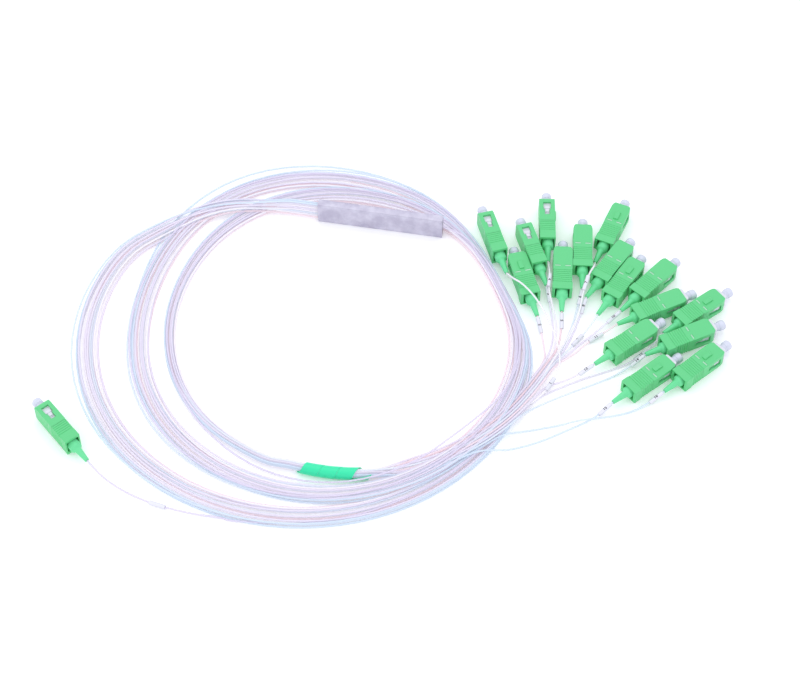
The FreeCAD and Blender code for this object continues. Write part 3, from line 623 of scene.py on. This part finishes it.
grip_ranges = {joint["name"]: joint["range_m"] for joint in frame["record"]["behaviour"]["joints"]
               if joint["name"].startswith("grip_slide_")}
boots_shape = bmesh.new()
latches_shape = bmesh.new()
for name in plug_names:
    finish_node("grip_" + name, grip_green)
    finish_node("ferrule_" + name, ceramic)
    add_shape(boots_shape, turned(BOOT_PROFILE), connector_place(name))
    for front, back, half, high in LATCH_STEPS:
        for side in (1, -1):
            low, top = sorted((side * (FRAME_SIDE - LATCH_SUNK), side * (FRAME_SIDE + high)))
            step = block(back, front, low, top, -half, half)
            bmesh.ops.bevel(step, geom=step.edges[:], offset=LATCH_BEVEL * MM, affect="EDGES", segments=1,
                            profile=0.5, material=-1)
            add_shape(latches_shape, step, connector_place(name))
    marks_shape = bmesh.new()
    pulled_back = grip_ranges["grip_slide_" + name][0] == 0
    for across in (MARK_OFFSET, -MARK_OFFSET):
        for side in (1, -1):
            face = side * (GRIP_FACE - MARK_RECESS)
            low, top = sorted((face, face - side * MARK_DEPTH))
            mark = block(MARK_PLACE - MARK_WIDTH / 2, MARK_PLACE + MARK_WIDTH / 2, across - MARK_LENGTH / 2,
                         across + MARK_LENGTH / 2, low, top)
            add_shape(marks_shape, mark, connector_place(name, GRIP_BACK if pulled_back else GRIP_FORWARD))
    marks = mesh_object("insertion_marks_" + name, marks_shape, mark_green)
    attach(marks, "grip_body_" + name)
    cap_shape = bmesh.new()
    add_shape(cap_shape, turned(CAP_PROFILE), connector_place(name))
    cap = mesh_object("dust_cap_" + name, cap_shape, cap_clear)
    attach(cap, "cap_body_" + name)
    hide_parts("cap_" + name)
boots = mesh_object("tapered_boots", boots_shape, boot_green)
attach(boots, "splitter")
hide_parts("boots")
latches = mesh_object("frame_latches", latches_shape, frame_white)
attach(latches, "splitter")
finish_node("plug_frames", frame_white)
finish_node("ferrule_springs", spring_steel)

# ---- Port tags ----
# A clear sleeve slipped over each lead carries the number of its port, printed in black. The input's
# sleeve is blank.
TAG_LENGTH = 7.5
TAG_RADIUS = 0.98
TAG_BORE_RADIUS = 0.7
TAG_CHAMFER = 0.08
TAG_STEPS = 20
TAG_BOOT_GAP = 1.0
PRINT_HEIGHT = 1.9
PRINT_BOLD = 0.05
PRINT_LIFT = 0.02
PRINT_THICKNESS = 0.01
PRINT_CUTS = 9
# Which run of its lead carries the tag, counted from the boot.
TAG_RUNS = {"01": 9, "04": 2, "07": 4, "09": 3, "11": 2, "13": 2, "in": 5}
TAG_PROFILE = [
    (0, TAG_BORE_RADIUS), (0, TAG_RADIUS - TAG_CHAMFER), (TAG_CHAMFER, TAG_RADIUS),
    (TAG_LENGTH - TAG_CHAMFER, TAG_RADIUS), (TAG_LENGTH, TAG_RADIUS - TAG_CHAMFER),
    (TAG_LENGTH, TAG_BORE_RADIUS), (0, TAG_BORE_RADIUS),
]

# The sleeves get a faint painted glow, and painted shade that darkens their colour towards their outlines.
tag_clear = clear_plastic("clear_tag_sleeve", "#F1F1F9", 0.3, 0.92, 0.03, 0.7)
print_black = new_material("black_marking_ink", "#16161C", 0.5)[0]
tags_shape = bmesh.new()
numbers_shape = bmesh.new()
for name in plug_names:
    points = [Vector(point) for point in TAILS[name] + [boot_tip(name)]]
    run = TAG_RUNS.get(name, 1)
    near = points[-run]
    away = (points[-run - 1] - near).normalized()
    if run == 1:
        start = near + away * TAG_BOOT_GAP
    else:
        start = (near + points[-run - 1]) / 2 - away * (TAG_LENGTH / 2)
    lies = away.to_track_quat("X", "Z").to_matrix().to_4x4()
    add_shape(tags_shape, turned(TAG_PROFILE, TAG_STEPS), Matrix.Translation(start * MM) @ lies)
    if name == "in":
        continue
    reads = away if away.x > 0 else -away
    font = bpy.data.curves.new("number_" + name, "FONT")
    font.body = str(int(name))
    font.size = PRINT_HEIGHT * MM
    font.align_x = "CENTER"
    font.align_y = "CENTER"
    font.extrude = PRINT_THICKNESS * MM
    font.offset = PRINT_BOLD * MM
    words = bpy.data.objects.new("number_" + name, font)
    flat = bpy.data.meshes.new_from_object(words)
    top = (start + away * (TAG_LENGTH / 2)) * MM
    faces_up = reads.to_track_quat("X", "Z").to_matrix().to_4x4()
    number = bmesh.new()
    number.from_mesh(flat)
    for cut in range(PRINT_CUTS):
        level = (cut / (PRINT_CUTS - 1) - 0.5) * PRINT_HEIGHT * MM
        bmesh.ops.bisect_plane(number, geom=number.verts[:] + number.edges[:] + number.faces[:],
                               plane_co=(0, level, 0), plane_no=(0, 1, 0))
    for corner in number.verts:
        bend = corner.co.y / (TAG_RADIUS * MM)
        radius = (TAG_RADIUS + PRINT_LIFT) * MM + corner.co.z
        corner.co.y = radius * math.sin(bend)
        corner.co.z = radius * math.cos(bend)
    add_shape(numbers_shape, number, Matrix.Translation(top) @ faces_up)
    bpy.data.objects.remove(words)
    bpy.data.meshes.remove(flat)
tags = mesh_object("tag_sleeves", tags_shape, tag_clear)
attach(tags, "splitter")
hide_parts("port_tags")
numbers = mesh_object("tag_numbers", numbers_shape, print_black)
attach(numbers, "splitter")

# ---- Spiral wrap ----
# A strip of soft green plastic wound round the bundle to keep it together. It bends with the bundle,
# its turns nearly touch, and the strip is cut slantwise to a point at its right end. Its radius
# grows a little from the left edge to the right, so that the turns don't cut into each other.
WRAP_START = Vector((-11.5, -143.1, WRAP_HEIGHT))
WRAP_END = Vector((21.5, -141.3, WRAP_HEIGHT))
WRAP_SAG = 1.6
WRAP_RADIUS = 2.75
WRAP_STEP = 0.1
WRAP_WALL = 0.3
WRAP_PITCH = 7.7
WRAP_STRIP = 7.6
WRAP_TURNS = 3.38
WRAP_POINT = 0.2
WRAP_TIP = 0.97
STEPS_PER_TURN = 32
ACROSS_STRIP = 6

wrap_green = moulded("green_spiral_wrap", "#30E8A9", 0.35, 0.00001)
wrap_run = WRAP_END - WRAP_START
strip = bmesh.new()
rows = []
for i in range(round(WRAP_TURNS * STEPS_PER_TURN) + 1):
    turned_by = i / STEPS_PER_TURN
    point = ease(turned_by, WRAP_TURNS - WRAP_POINT, WRAP_TURNS) * WRAP_TIP
    row = []
    for k in range(ACROSS_STRIP + 1):
        share = point + (1 - point) * k / ACROSS_STRIP
        x = WRAP_PITCH * turned_by + WRAP_STRIP * share
        radius = WRAP_RADIUS + WRAP_STEP * share
        angle = 2 * math.pi * turned_by
        bend = 2 * x / wrap_run.length - 1
        aside = -radius * math.sin(angle) - WRAP_SAG * (1 - bend * bend)
        row.append(strip.verts.new((x * MM, aside * MM, -radius * math.cos(angle) * MM)))
    rows.append(row)
for one, two in zip(rows, rows[1:]):
    for k in range(ACROSS_STRIP):
        strip.faces.new((one[k], one[k + 1], two[k + 1], two[k]))
bmesh.ops.recalc_face_normals(strip, faces=strip.faces[:])
bmesh.ops.solidify(strip, geom=strip.faces[:], thickness=WRAP_WALL * MM)
wrap_shape = bmesh.new()
lies = wrap_run.to_track_quat("X", "Z").to_matrix().to_4x4()
add_shape(wrap_shape, strip, Matrix.Translation(WRAP_START * MM) @ lies)
wrap = mesh_object("wound_strip", wrap_shape, wrap_green)
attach(wrap, "splitter")
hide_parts("spiral_wrap")
